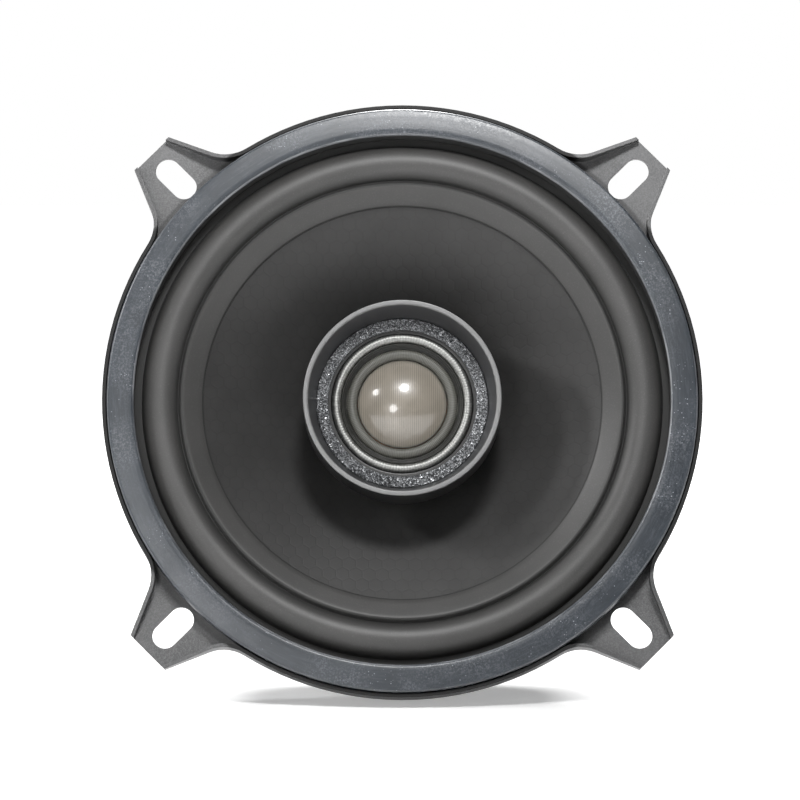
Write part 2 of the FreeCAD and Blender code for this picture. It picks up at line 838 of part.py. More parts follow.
def make_dome():
    """A thin spherical cap. Its half section ends on the axis."""
    body = new_body("tweeter_dome")
    crown = amount("dome_centre") + math.hypot(
        amount("dome_radius"), amount("dome_edge_front") - amount("dome_centre"))
    edge = FreeCAD.Vector(amount("dome_radius"), -amount("dome_edge_front"), 0)
    sketch = new_sketch(body, "dome_section", "XY_Plane")
    centre = FreeCAD.Vector(0, -amount("dome_centre"), 0)
    under_centre = FreeCAD.Vector(0, -amount("dome_under_centre"), 0)
    under_edge = edge + FreeCAD.Vector(0, amount("dome_thick"), 0)
    under_radius = (under_edge - under_centre).Length
    top = FreeCAD.Vector(0, -crown, 0)
    under_top = FreeCAD.Vector(0, under_centre.y - under_radius, 0)
    outer, outer_ends = add_arc(sketch, top, edge, centre, 1)
    side = sketch.addGeometry(Part.LineSegment(edge, under_edge))
    inner, inner_ends = add_arc(sketch, under_edge, under_top, under_centre, -1)
    middle = sketch.addGeometry(Part.LineSegment(under_top, top))
    join = Sketcher.Constraint
    sketch.addConstraint(join("Coincident", outer, outer_ends[1], side, 1))
    sketch.addConstraint(join("Coincident", side, 2, inner, inner_ends[0]))
    sketch.addConstraint(join("Coincident", inner, inner_ends[1], middle, 1))
    sketch.addConstraint(join("Coincident", middle, 2, outer, outer_ends[0]))
    pin_point(sketch, side, 1, "dome_radius", backwards("dome_edge_front"))
    pin_point(sketch, side, 2, "dome_radius", backwards("dome_edge_front - dome_thick"))
    pin_point(sketch, outer, 3, "0", backwards("dome_centre"))
    pin_point(sketch, inner, 3, "0", backwards("dome_under_centre"))
    sketch.addConstraint(join("PointOnObject", middle, 1, -2))
    sketch.addConstraint(join("PointOnObject", middle, 2, -2))
    feature = body.newObject("PartDesign::Revolution", "dome_turned")
    feature.Profile = sketch
    feature.ReferenceAxis = (sketch, ["V_Axis"])
    feature.Angle = 360
    body.Tip = feature
    doc.recompute()
    return body


def make_dome_roll():
    """The dome's small half-roll surround, glued under the step ring's lip."""
    body = new_body("tweeter_surround")
    inner, outer = "dome_radius + dome_roll_gap", "dome_roll_outer"
    revolve(body, "roll", [
        (inner, "dome_edge_front"),
        (outer, "dome_edge_front", "dome_roll_centre - dome_roll_thick", 1),
        (outer, "dome_roll_back"),
        (f"{outer} - dome_roll_thick", "dome_roll_back"),
        (f"{inner} + dome_roll_thick", "dome_roll_back", "dome_roll_back - dome_roll_thick", -1),
        (inner, "dome_roll_back"),
    ])
    return body


def make_tweeter_cup():
    """The tweeter motor's steel cup."""
    body = new_body("tweeter_cup")
    revolve(body, "turned", [
        ("cup_outer", "cup_front"),
        ("cup_outer", "housing_floor"),
        ("post_bore", "housing_floor"),
        ("post_bore", "cup_floor"),
        ("cup_bore", "cup_floor"),
        ("cup_bore", "cup_front"),
    ])
    return body


def make_board():
    body = new_body("terminal_board")
    sketch = new_sketch(body, "board_outline", "XY_Plane", "board_height")
    left, right = "- board_half", "board_half"
    front, back = backwards("board_front"), backwards("board_back")
    draw_outline(sketch, [
        (right, f"{back} - board_corner"),
        ("board_half - board_corner", back),
        ("- board_half + board_corner", back),
        (left, f"{back} - board_corner"),
        (left, front),
        (right, front),
    ])
    for x in ("board_rivet_x", "- board_rivet_x"):
        draw_circle(sketch, x, backwards("board_rivet_forward"), "board_rivet_radius")
    for x in ("tab_x", "- tab_x"):
        draw_circle(sketch, x, backwards("tab_rivet_forward"), "board_rivet_radius")
    for x in ("cap_lead_x", "- cap_lead_x"):
        draw_circle(sketch, x, backwards("cap_forward"), "cap_lead_radius")
    extrude(body, "board", sketch, "board_thick")
    return body


def make_bracket():
    """The angle welded under the spider shelf that carries the terminal board."""
    body = new_body("terminal_bracket")
    sketch = new_sketch(body, "bracket_section", "YZ_Plane", "- tab_half")
    shelf = "shelf_depth + sheet_thick"
    draw_outline(sketch, [
        (shelf, "seat_radius + rivet_head_thick"),
        (f"{shelf} + sheet_thick", "seat_radius + rivet_head_thick"),
        (f"{shelf} + sheet_thick", "tab_height"),
        ("tab_depth", "tab_height"),
        ("tab_depth", "tab_height + sheet_thick"),
        (shelf, "tab_height + sheet_thick"),
    ])
    extrude(body, "angle", sketch, "tab_half + tab_half")
    holes = new_sketch(body, "bracket_holes", "XY_Plane", "tab_height + sheet_thick")
    for x in ("board_rivet_x", "- board_rivet_x"):
        draw_circle(holes, x, backwards("board_rivet_forward"), "board_rivet_radius")
    extrude(body, "holes", holes, "sheet_thick", "Pocket")
    return body


def make_tab(name, sign, half_width):
    """A flat push-on terminal with a chamfered tip, riveted to the board."""
    body = new_body(name)
    top = "board_height + board_thick"
    sketch = new_sketch(body, f"{name}_outline", "XY_Plane", top)
    middle = "tab_x" if sign > 0 else "- tab_x"
    front, back = backwards("tab_front"), backwards("tab_back")
    draw_outline(sketch, [
        (f"{middle} + {half_width}", front),
        (f"{middle} + {half_width}", f"{back} - tab_tip"),
        (f"{middle} + {half_width} - tab_tip", back),
        (f"{middle} - {half_width} + tab_tip", back),
        (f"{middle} - {half_width}", f"{back} - tab_tip"),
        (f"{middle} - {half_width}", front),
    ])
    draw_circle(sketch, middle, backwards("tab_hole_forward"), "tab_hole")
    draw_circle(sketch, middle, backwards("tab_rivet_forward"), "board_rivet_radius")
    extrude(body, "tab", sketch, "tab_thick")
    return body


def flat_rivet(x, forward, bottom, top):
    """A rivet along Z whose two heads lie outside the stated faces."""
    cap, head = amount("board_rivet_cap"), amount("board_rivet_head")
    foot = FreeCAD.Vector(x, -forward, bottom)
    shank = peg(foot, UP, amount("board_rivet_radius"), top - bottom)
    low = peg(foot - UP * cap, UP, head, cap)
    high = peg(FreeCAD.Vector(x, -forward, top), UP, head, cap)
    return shank.fuse([low, high]).removeSplitter()


def make_board_rivets():
    """Two rivets through the board and its bracket, two through the board and the tabs."""
    top = amount("board_height + board_thick")
    rivets = []
    for side in (-1, 1):
        rivets.append(flat_rivet(side * amount("board_rivet_x"), amount("board_rivet_forward"),
                                 amount("tab_height"), top))
        rivets.append(flat_rivet(side * amount("tab_x"), amount("tab_rivet_forward"),
                                 amount("board_height"), top + amount("tab_thick")))
    return group("terminal_rivets", rivets)


def bend_path(points, bend):
    """Straight runs between the points, joined by tangent arcs of one radius."""
    edges, start = [], points[0]
    for before, corner, after in zip(points, points[1:], points[2:]):
        back = (before - corner).normalize()
        on = (after - corner).normalize()
        half = back.getAngle(on) / 2
        run = bend / math.tan(half)
        first, last = corner + back * run, corner + on * run
        inward = (back + on).normalize()
        middle = corner + inward * (bend / math.sin(half) - bend)
        edges.append(Part.LineSegment(start, first).toShape())
        edges.append(Part.Arc(first, middle, last).toShape())
        start = last
    edges.append(Part.LineSegment(start, points[-1]).toShape())
    return Part.Wire(edges)


def wire_along(points, bend, radius):
    path = bend_path(points, bend)
    heading = points[1] - points[0]
    circle = Part.Wire([Part.Circle(points[0], heading, radius).toShape()])
    return path.makePipeShell([circle], True, False)


def make_tweeter_wires():
    """Two leads out of the hollow post, over the back plate and up to the terminals."""
    wires = []
    rear, end = amount("wire_rear"), amount("wire_end")
    for side in (-1, 1):
        near, far = side * amount("wire_gap"), side * amount("wire_spread")
        top = amount("board_height + board_thick")
        points = [
            FreeCAD.Vector(near, -amount("wire_start"), 0),
            FreeCAD.Vector(near, -rear, 0),
            FreeCAD.Vector(far, -rear, amount("wire_side")),
            FreeCAD.Vector(far, -end, amount("wire_side")),
            FreeCAD.Vector(far, -end, top),
        ]
        wires.append(wire_along(points, amount("wire_bend"), amount("wire_radius")))
    return group("tweeter_wires", wires)


def make_tinsel_leads():
    """Two braided leads from the board, through the top window, to the cone's back."""
    stations = [
        ("tinsel_board_x", "tinsel_board_forward", "board_height + board_thick"),
        ("tinsel_board_x", "tinsel_board_forward", "tinsel_rise"),
        ("tinsel_board_x", "tinsel_over_forward", "tinsel_over_height"),
        ("tinsel_window_x", "tinsel_window_forward", "tinsel_window_height"),
        ("tinsel_cone_x", "tinsel_cone_forward", "tinsel_cone_height"),
    ]
    leads = []
    for side in (-1, 1):
        points = [place(*station) for station in stations]
        for point in points:
            point.x *= side
        leads.append(wire_along(points, amount("tinsel_bend"), amount("tinsel_radius")))
    return group("tinsel_leads", leads)


def make_capacitor():
    """A can lying across the board, with rounded ends."""
    can = doc.addObject("Part::Cylinder", "capacitor_can")
    can.setExpression("Radius", "Sizes.cap_radius * 1 mm")
    can.setExpression("Height", "Sizes.cap_half * 2 mm")
    doc.recompute()
    rims = []
    for i, edge in enumerate(can.Shape.Edges, start=1):
        if isinstance(edge.Curve, Part.Circle):
            rims.append((i, amount("cap_round"), amount("cap_round")))
    rounded = doc.addObject("Part::Fillet", "crossover_capacitor")
    rounded.Base = can
    rounded.Edges = rims
    rounded.Label = "crossover_capacitor"
    rounded.Placement = FreeCAD.Placement(
        FreeCAD.Vector(0, 0, 0), FreeCAD.Rotation(FreeCAD.Vector(0, 1, 0), 90))
    rounded.setExpression("Placement.Base.x", "-Sizes.cap_half * 1 mm")
    rounded.setExpression("Placement.Base.y", "-Sizes.cap_forward * 1 mm")
    rounded.setExpression("Placement.Base.z", "Sizes.cap_height * 1 mm")
    return rounded


def make_capacitor_leads():
    leads = []
    for side in (-1, 1):
        y, height = -amount("cap_forward"), amount("cap_height")
        points = [
            FreeCAD.Vector(side * amount("cap_half"), y, height),
            FreeCAD.Vector(side * amount("cap_lead_x"), y, height),
            FreeCAD.Vector(side * amount("cap_lead_x"), y, amount("board_height")),
        ]
        leads.append(wire_along(points, amount("wire_bend"), amount("cap_lead_radius")))
    return group("capacitor_leads", leads)


def build_parts():
    back = "- seat_depth - plate_thick"
    return [
        make_basket(),
        make_gasket(),
        make_surround(),
        make_cone(),
        ring("voice_coil_former", "former_outer", "former_inner", "former_front", "former_back"),
        ring("voice_coil_winding", "coil_outer", "former_outer", "coil_front", "coil_back"),
        make_spider(),
        make_top_plate(),
        make_magnet(),
        make_yoke(),
        make_plate_rivets(),
        make_post(),
        make_washer(),
        make_nut(),
        make_housing(),
        ring("tweeter_texture_ring", "texture_outer", "texture_inner", "texture_front",
             "ledge_front"),
        make_face_ring(),
        make_step_ring(),
        make_dome(),
        make_dome_roll(),
        ring("tweeter_coil_former", "dcoil_mid", "dcoil_inner", "dome_edge_front - dome_thick",
             "dcoil_back"),
        ring("tweeter_winding", "dcoil_outer", "dcoil_mid", "dwinding_front", "dcoil_back"),
        make_tweeter_cup(),
        ring("tweeter_magnet", "dmagnet_radius", "post_bore", "dplate_back", "cup_floor"),
        ring("tweeter_pole_plate", "dplate_radius", "post_bore", "dplate_front", "dplate_back"),
        make_bracket(),
        make_board(),
        make_tab("terminal_positive", 1, "tab_wide_half"),
        make_tab("terminal_negative", -1, "tab_narrow_half"),
        make_board_rivets(),
        make_capacitor(),
        make_capacitor_leads(),
        make_tweeter_wires(),
        make_tinsel_leads(),
    ]


def check_everything():
    """Stops before anything is written if a feature failed or a shape is unsound."""
    for item in doc.Objects:
        states = [s for s in item.State if s in ("Invalid", "Error")]
        if states:
            raise RuntimeError(f"{item.Name} is {states}")
        shape = getattr(item, "Shape", None)
        if shape is not None and not shape.isNull() and not shape.isValid():
            raise RuntimeError(f"{item.Name} has an unsound shape")


fill_sheet()
sub_parts = build_parts()
doc.recompute()
check_everything()
os.makedirs("parts", exist_ok=True)
for sub_part in sub_parts:
    if sub_part.Shape.isNull() or not sub_part.Shape.Solids:
        raise RuntimeError(f"{sub_part.Label} has no solid")
    sub_part.Shape.exportStep(f"parts/{sub_part.Label}.step")
    print(sub_part.Label, len(sub_part.Shape.Solids), round(sub_part.Shape.Volume, 2))
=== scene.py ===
import math

import bmesh
import bpy
import numpy as np
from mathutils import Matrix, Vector


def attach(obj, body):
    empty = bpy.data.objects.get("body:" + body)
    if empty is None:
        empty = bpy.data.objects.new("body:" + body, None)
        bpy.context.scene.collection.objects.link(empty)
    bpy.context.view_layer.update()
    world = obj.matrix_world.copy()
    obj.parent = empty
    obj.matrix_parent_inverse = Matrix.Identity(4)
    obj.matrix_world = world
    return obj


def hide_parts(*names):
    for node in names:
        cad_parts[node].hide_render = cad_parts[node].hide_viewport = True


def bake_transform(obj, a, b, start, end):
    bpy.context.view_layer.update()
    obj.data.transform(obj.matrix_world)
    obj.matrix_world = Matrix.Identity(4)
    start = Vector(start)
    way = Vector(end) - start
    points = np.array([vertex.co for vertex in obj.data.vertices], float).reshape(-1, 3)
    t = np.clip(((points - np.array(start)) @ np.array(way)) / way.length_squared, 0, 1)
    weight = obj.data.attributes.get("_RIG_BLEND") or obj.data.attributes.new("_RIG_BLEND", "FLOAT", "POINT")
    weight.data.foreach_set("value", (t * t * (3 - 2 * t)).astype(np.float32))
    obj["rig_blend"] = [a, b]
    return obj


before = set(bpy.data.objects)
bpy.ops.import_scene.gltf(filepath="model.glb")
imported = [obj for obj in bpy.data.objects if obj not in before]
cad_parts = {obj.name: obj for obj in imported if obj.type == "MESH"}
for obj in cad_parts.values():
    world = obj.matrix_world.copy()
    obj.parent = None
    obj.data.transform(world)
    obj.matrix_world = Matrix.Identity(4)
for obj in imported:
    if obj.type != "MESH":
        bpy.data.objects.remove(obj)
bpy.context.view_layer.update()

# Lengths are in metres. The speaker's axis is Y, its face looks along -Y and Z is up.
# A profile point is (radius, forward), where forward is measured in front of the flange's back.
# Profiles and routes are written in millimetres, and mm() or MM turns them into metres.

MM = 0.001
TAU = 2 * math.pi
SEGMENTS = 384
SAME_POINT = 1e-7


# ---------------------------------------------------------------- shapes

def mm(points):
    """A profile's millimetres in metres."""
    return [(r * MM, f * MM) for r, f in points]


def rounded(points, radius, steps=5, closed=True):
    """The profile with each corner replaced by a short curve."""
    count, out = len(points), []
    for i, corner in enumerate(points):
        if not closed and i in (0, count - 1):
            out.append(corner)
            continue
        before, after = points[i - 1], points[(i + 1) % count]
        here = np.array(corner)
        back, on = np.array(before) - here, np.array(after) - here
        reach = min(radius, 0.45 * np.linalg.norm(back), 0.45 * np.linalg.norm(on))
        start = here + back / np.linalg.norm(back) * reach
        end = here + on / np.linalg.norm(on) * reach
        for k in range(steps + 1):
            t = k / steps
            point = (1 - t) ** 2 * start + 2 * t * (1 - t) * here + t * t * end
            out.append(tuple(float(v) for v in point))
    return out


def arc(centre_r, centre_f, radius, start_deg, end_deg, steps):
    """Points on a circle in the (radius, forward) plane; 0 degrees points outwards."""
    out = []
    for k in range(steps + 1):
        a = math.radians(start_deg + (end_deg - start_deg) * k / steps)
        out.append((centre_r + radius * math.cos(a), centre_f + radius * math.sin(a)))
    return out


def mesh_object(name, vertices, faces, smooth=True):
    mesh = bpy.data.meshes.new(name)
    mesh.from_pydata([tuple(v) for v in vertices], [], faces)
    mesh.validate()
    if smooth:
        mesh.shade_smooth()
    made = bpy.data.objects.new(name, mesh)
    bpy.context.scene.collection.objects.link(made)
    return made


def lathe(name, profile, closed=True, segments=SEGMENTS):
    """Turns a profile about the speaker's axis. A closed profile makes a solid ring."""
    count = len(profile)
    angles = np.arange(segments) * TAU / segments
    vertices = []
    for a in angles:
        c, s = math.cos(a), math.sin(a)
        for r, f in profile:
            vertices.append((r * c, -f, r * s))
    faces = []
    spans = count if closed else count - 1
    for i in range(segments):
        j = (i + 1) % segments
        for k in range(spans):
            m = (k + 1) % count
            faces.append((i * count + k, i * count + m, j * count + m, j * count + k))
    made = mesh_object(name, vertices, faces)
    face_outwards(made)
    return made


def face_outwards(made):
    """Joins points that coincide and turns every face outwards."""
    held = bmesh.new()
    held.from_mesh(made.data)
    bmesh.ops.remove_doubles(held, verts=held.verts, dist=SAME_POINT)
    bmesh.ops.recalc_face_normals(held, faces=held.faces)
    held.to_mesh(made.data)
    held.free()


def sweep(paths, radius, sides=12):
    """Round strands along paths. Returns vertices, faces and each vertex's share of its path."""
    vertices, faces, shares = [], [], []
    for path in paths:
        points = [Vector(p) for p in path]
        lengths = [0.0]
        for a, b in zip(points, points[1:]):
            lengths.append(lengths[-1] + (b - a).length)
        side = Vector((1, 0, 0))
        first = len(vertices)
        for k, point in enumerate(points):
            ahead = (points[min(k + 1, len(points) - 1)] - points[max(k - 1, 0)]).normalized()
            side = (side - ahead * side.dot(ahead)).normalized()
            other = ahead.cross(side)
            for i in range(sides):
                a = TAU * i / sides
                vertices.append(point + (side * math.cos(a) + other * math.sin(a)) * radius)
                shares.append(lengths[k] / lengths[-1])
        last = first + (len(points) - 1) * sides
        for row in range(first, last, sides):
            for i in range(sides):
                j = (i + 1) % sides
                faces.append((row + i, row + j, row + sides + j, row + sides + i))
        faces.append(tuple(range(first + sides - 1, first - 1, -1)))
        faces.append(tuple(range(last, last + sides)))
    return vertices, faces, shares


# ---------------------------------------------------------------- materials

class Look:
    """A procedural material and short calls that add nodes to it."""

    def __init__(self, name, colour, rough, metal=0.0, coat=0.0, specular=0.5):
        self.material = bpy.data.materials.new(name)
        self.material.use_nodes = True
        self.tree = self.material.node_tree
        self.shader = self.tree.nodes["Principled BSDF"]
        self.shader.inputs["Base Color"].default_value = (*colour, 1)
        self.shader.inputs["Roughness"].default_value = rough
        self.shader.inputs["Metallic"].default_value = metal
        self.shader.inputs["Coat Weight"].default_value = coat
        self.shader.inputs["Specular IOR Level"].default_value = specular
        self.place = self.add("ShaderNodeTexCoord").outputs["Object"]

    def add(self, kind, **settings):
        node = self.tree.nodes.new(kind)
        for key, value in settings.items():
            setattr(node, key, value)
        return node

    def link(self, a, b):
        self.tree.links.new(a, b)

    def feed(self, node, index, value):
        """Links a socket to a node's input, or sets the input to a number."""
        if hasattr(value, "is_output"):
            self.link(value, node.inputs[index])
        else:
            node.inputs[index].default_value = value

    def maths(self, operation, a, b=0.0):
        node = self.add("ShaderNodeMath", operation=operation)
        self.feed(node, 0, a)
        self.feed(node, 1, b)
        return node.outputs[0]

    def vector(self, operation, a, b=(0, 0, 0)):
        node = self.add("ShaderNodeVectorMath", operation=operation)
        self.feed(node, 0, a)
        self.feed(node, 1, b)
        return node.outputs["Value" if operation in ("DOT_PRODUCT", "LENGTH") else "Vector"]

    def split(self, vector):
        node = self.add("ShaderNodeSeparateXYZ")
        self.link(vector, node.inputs[0])
        return node.outputs

    def join(self, x, y, z=0.0):
        node = self.add("ShaderNodeCombineXYZ")
        for index, value in enumerate((x, y, z)):
            self.feed(node, index, value)
        return node.outputs[0]

    def polar(self):
        """(radius, angle, forward) of a point about the speaker's axis."""
        x, y, z = self.split(self.place)
        radius = self.maths("SQRT", self.maths("ADD", self.maths("MULTIPLY", x, x),
                                               self.maths("MULTIPLY", z, z)))
        angle = self.maths("ARCTAN2", z, x)
        return radius, angle, self.maths("MULTIPLY", y, -1.0)

    def noise(self, size, detail=3.0, rough=0.5, vector=None, stretch=None):
        """Noise whose grains are about this size in metres."""
        place = vector or self.place
        if stretch:
            place = self.vector("MULTIPLY", place, stretch)
        node = self.add("ShaderNodeTexNoise")
        self.link(place, node.inputs["Vector"])
        node.inputs["Scale"].default_value = 1.0 / size
        node.inputs["Detail"].default_value = detail
        node.inputs["Roughness"].default_value = rough
        return node.outputs["Fac"]

    def cells(self, size):
        """Cells about this large in metres: the distance to each centre and its random colour."""
        node = self.add("ShaderNodeTexVoronoi", feature="F1")
        self.link(self.place, node.inputs["Vector"])
        node.inputs["Scale"].default_value = 1.0 / size
        return node.outputs

    def ramp(self, value, low, high, out_low=0.0, out_high=1.0):
        """A smooth step from out_low at low to out_high at high; low may be the larger one."""
        node = self.add("ShaderNodeMapRange", interpolation_type="SMOOTHSTEP")
        self.feed(node, 0, value)
        for index, number in enumerate((low, high, out_low, out_high), start=1):
            node.inputs[index].default_value = number
        return node.outputs[0]

    def mix(self, share, a, b):
        """Colour a where the share is 0 and b where it is 1."""
        node = self.add("ShaderNodeMix", data_type="RGBA")
        self.feed(node, 0, share)
        for index, value in ((6, a), (7, b)):
            if isinstance(value, tuple):
                node.inputs[index].default_value = (*value, 1)
            else:
                self.link(value, node.inputs[index])
        return node.outputs[2]

    def colour(self, value):
        self.link(value, self.shader.inputs["Base Color"])

    def roughness(self, value):
        self.link(value, self.shader.inputs["Roughness"])

    def bump(self, height, depth, normal=None):
        """A bump of this depth in metres for a height between 0 and 1."""
        node = self.add("ShaderNodeBump")
        node.inputs["Strength"].default_value = 1.0
        node.inputs["Distance"].default_value = depth
        self.link(height, node.inputs["Height"])
        if normal is not None:
            self.link(normal, node.inputs["Normal"])
        self.link(node.outputs[0], self.shader.inputs["Normal"])

    def soft_edges(self, radius):
        """A normal that rounds the part's sharp edges."""
        node = self.add("ShaderNodeBevel", samples=6)
        node.inputs["Radius"].default_value = radius
        return node.outputs[0]

    def dress(self, made):
        made.data.materials.clear()
        made.data.materials.append(self.material)


def steel_paint():
    """Fine-grained dark grey coating on the pressed basket, with painted shade, near black, on the outer
    wall of the step round its rim.
    """
    look = Look("steel_paint", (0.10, 0.10, 0.10), 0.42, metal=0.55)
    grain = look.noise(0.00028, 4.0, 0.7)
    cloud = look.noise(0.012, 2.0)
    tone = look.mix(look.ramp(cloud, 0.3, 0.7), (0.068, 0.068, 0.069), (0.090, 0.090, 0.091))
    tone = look.mix(look.ramp(grain, 0.35, 0.75), tone, (0.145, 0.145, 0.147))
    radius, _, forward = look.polar()
    # Painted shade: the outer wall of the step round the rim is coloured near black, where shade falls.
    within_rim = look.ramp(radius, 0.0660, 0.0653)
    raised = look.ramp(forward, 0.0006, 0.0014)
    step = look.maths("MULTIPLY", within_rim, raised)
    look.colour(look.mix(step, tone, (0.010, 0.010, 0.010)))
    look.roughness(look.ramp(grain, 0.3, 0.7, 0.38, 0.52))
    look.bump(grain, 0.000008, look.soft_edges(0.0002))
    return look


def gasket_rubber():
    """Bluish grey moulded ring: scuffed in patches, with a painted highlight along both edges, painted shade
    on its inner wall and fine dust on it.
    """
    look = Look("gasket_rubber", (0.04, 0.046, 0.054), 0.34, specular=0.55)
    radius, angle, forward = look.polar()
    # Noise read on this small circle comes out drawn along the ring.
    small_circle = 0.0061
    along = look.join(look.maths("MULTIPLY", look.maths("COSINE", angle), small_circle),
                      look.maths("MULTIPLY", look.maths("SINE", angle), small_circle), radius)
    rubbed = look.noise(0.0004, 4.0, 0.65, vector=along)
    grain = look.noise(0.00042, 4.0, 0.75)
    cloud = look.noise(0.011, 3.0, 0.6)
    tone = look.mix(look.ramp(cloud, 0.3, 0.7), (0.020, 0.0245, 0.0305), (0.028, 0.0335, 0.041))
    tone = look.mix(look.ramp(rubbed, 0.45, 0.85), tone, (0.052, 0.059, 0.069))
    patches = look.ramp(look.noise(0.012, 2.0, 0.5), 0.35, 0.70)
    scuffed = look.maths("MULTIPLY", patches, look.ramp(grain, 0.46, 0.62))
    tone = look.mix(look.maths("MULTIPLY", scuffed, 0.7), tone, (0.125, 0.133, 0.148))
    # Painted highlight: both edges of the face are coloured paler, as if their bevels caught the lamps.
    inner_edge = look.ramp(radius, 0.0585, 0.0583)
    outer_edge = look.ramp(radius, 0.0635, 0.0637, 0.0, 0.4)
    edges = look.maths("MAXIMUM", inner_edge, outer_edge)
    edges = look.maths("MULTIPLY", edges, look.ramp(rubbed, 0.25, 0.6, 0.35, 1.0))
    uneven = look.ramp(look.noise(0.018, 2.0), 0.4, 0.65, 0.25, 1.0)
    edges = look.maths("MULTIPLY", edges, uneven)
    tone = look.mix(edges, tone, (0.20, 0.205, 0.215))
    dust = look.cells(0.0004)
    lot = look.split(dust["Color"])[0]
    drift = look.ramp(look.noise(0.009, 2.0), 0.45, 0.7)
    speck = look.maths("MULTIPLY", look.ramp(dust["Distance"], 0.36, 0.20),
                       look.ramp(lot, 0.86, 0.92))
    speck = look.maths("MULTIPLY", speck, drift)
    face = look.mix(speck, tone, (0.30, 0.32, 0.35))
    # Painted shade: the inner wall below the face is coloured near black.
    inside = look.ramp(radius, 0.0583, 0.0581)
    under_top = look.ramp(forward, 0.0063, 0.0058)
    wall = look.maths("MULTIPLY", inside, under_top)
    look.colour(look.mix(wall, face, (0.005, 0.005, 0.005)))
    satin = look.ramp(grain, 0.3, 0.7, 0.28, 0.42)
    look.roughness(look.maths("MAXIMUM", satin, look.maths("MULTIPLY", wall, 0.9)))
    look.bump(grain, 0.000012)
    return look


def surround_rubber():
    """Dark rubber, painted near black as shade in its folds and at the landing's edge, with a fine
    orange-peel grain.
    """
    look = Look("surround_rubber", (0.03, 0.03, 0.029), 0.48, specular=0.5)
    grain = look.noise(0.00035, 4.0, 0.65)
    cloud = look.noise(0.01, 2.0)
    tone = look.mix(look.ramp(cloud, 0.3, 0.7), (0.036, 0.0355, 0.0345), (0.042, 0.041, 0.040))
    tone = look.mix(look.ramp(grain, 0.5, 0.8), tone, (0.062, 0.061, 0.059))
    radius, _, _ = look.polar()
    # Painted shade: the groove at the landing's edge, the roll's inner flank and the trough beside the
    # gasket are coloured near black; the rubber keeps its tone on the landing and the crest.
    landing = look.maths("MULTIPLY", look.ramp(radius, 0.0478, 0.0474, 0.0, 0.82),
                         look.ramp(radius, 0.0433, 0.0436))
    crest = look.maths("MULTIPLY", look.ramp(radius, 0.0484, 0.0510, 0.12, 1.0),
                       look.ramp(radius, 0.0567, 0.0551))
    clear_of_fold_shade = look.maths("MAXIMUM", landing, crest)
    look.colour(look.mix(clear_of_fold_shade, (0.009, 0.009, 0.0085), tone))
    look.roughness(look.ramp(clear_of_fold_shade, 0.0, 1.0, 0.7, 0.48))
    look.bump(grain, 0.000015)
    return look


def honeycomb(look, pitch):
    """Distance from the walls of a hexagon grid seen along the axis: 0 at a wall, 0.5 inside."""
    x, _, z = look.split(look.place)
    point = look.join(look.maths("MULTIPLY", x, 1 / pitch), look.maths("MULTIPLY", z, 1 / pitch))
    tall = math.sqrt(3)
    halves = (0.5, tall / 2, 0)

    def nearest(offset):
        node = look.add("ShaderNodeVectorMath", operation="WRAP")
        look.link(look.vector("ADD", point, offset), node.inputs[0])
        node.inputs[1].default_value = halves
        node.inputs[2].default_value = (-0.5, -tall / 2, 0)
        return look.vector("MULTIPLY", node.outputs["Vector"], (1, 1, 0))

    def walls(cell):
        folded = look.vector("ABSOLUTE", cell)
        slant = look.vector("DOT_PRODUCT", folded, (0.5, tall / 2, 0))
        return look.maths("MAXIMUM", slant, look.split(folded)[0])

    reach = look.maths("MINIMUM", walls(nearest((0, 0, 0))), walls(nearest(halves)))
    return look.maths("SUBTRACT", 0.5, reach)


def cone_skin():
    """Dark cone with a barely raised honeycomb and a satin sheen."""
    look = Look("cone_skin", (0.022, 0.021, 0.021), 0.5, specular=0.4)
    wall = honeycomb(look, 0.00287)
    line = look.ramp(wall, 0.02, 0.09, 1.0, 0.0)
    grain = look.noise(0.0003, 3.0)
    cloud = look.noise(0.009, 2.0)
    tone = look.mix(look.ramp(cloud, 0.3, 0.7), (0.020, 0.0196, 0.0192), (0.0245, 0.024, 0.0236))
    look.colour(look.mix(look.maths("MULTIPLY", line, 0.18), tone, (0.011, 0.0107, 0.0105)))
    height = look.maths("ADD", look.maths("MULTIPLY", line, -0.6),
                        look.maths("MULTIPLY", grain, 0.25))
    look.bump(height, 0.00002)
    return look


def housing_plastic():
    """Satin dark moulding: a light grey front rim painted as sheen, the outside wall painted darker as shade
    and a groove painted near black as shade.
    """
    look = Look("housing_plastic", (0.03, 0.03, 0.03), 0.36, specular=0.6)
    radius, _, forward = look.polar()
    # Painted sheen: the front rim is coloured light grey.
    outermost = look.ramp(radius, 0.0200, 0.0204)
    frontmost = look.ramp(forward, 0.0063, 0.0067)
    rim = look.maths("MULTIPLY", outermost, frontmost)
    # Painted shade: the outside wall is coloured darker.
    outside = look.ramp(radius, 0.0212, 0.0214)
    body = look.mix(outside, (0.022, 0.022, 0.023), (0.010, 0.010, 0.010))
    # Painted shade: the groove and the bore inside the sparkle ring are coloured near black.
    groove = look.ramp(radius, 0.0166, 0.0162)
    body = look.mix(groove, body, (0.003, 0.003, 0.003))
    look.colour(look.mix(rim, body, (0.16, 0.16, 0.16)))
    grain = look.noise(0.00025, 3.0)
    look.bump(grain, 0.00001)
    return look


def sparkle_finish():
    """Crystalline ring: every tiny facet leans its own way and catches the light."""
    look = Look("sparkle_finish", (0.05, 0.052, 0.055), 0.30, metal=0.3, specular=0.8)
    size = 0.00022
    facets = look.cells(size)
    lean_x, lean_z, lot = look.split(facets["Color"])
    x, _, z = look.split(look.place)
    rise = look.maths("ADD", look.maths("MULTIPLY", look.maths("SUBTRACT", lean_x, 0.5), x),
                      look.maths("MULTIPLY", look.maths("SUBTRACT", lean_z, 0.5), z))
    look.colour(look.mix(look.ramp(lot, 0.3, 1.0), (0.05, 0.052, 0.055), (0.34, 0.35, 0.365)))
    look.bump(look.maths("MULTIPLY", rise, 1 / size), 0.00030)
    return look


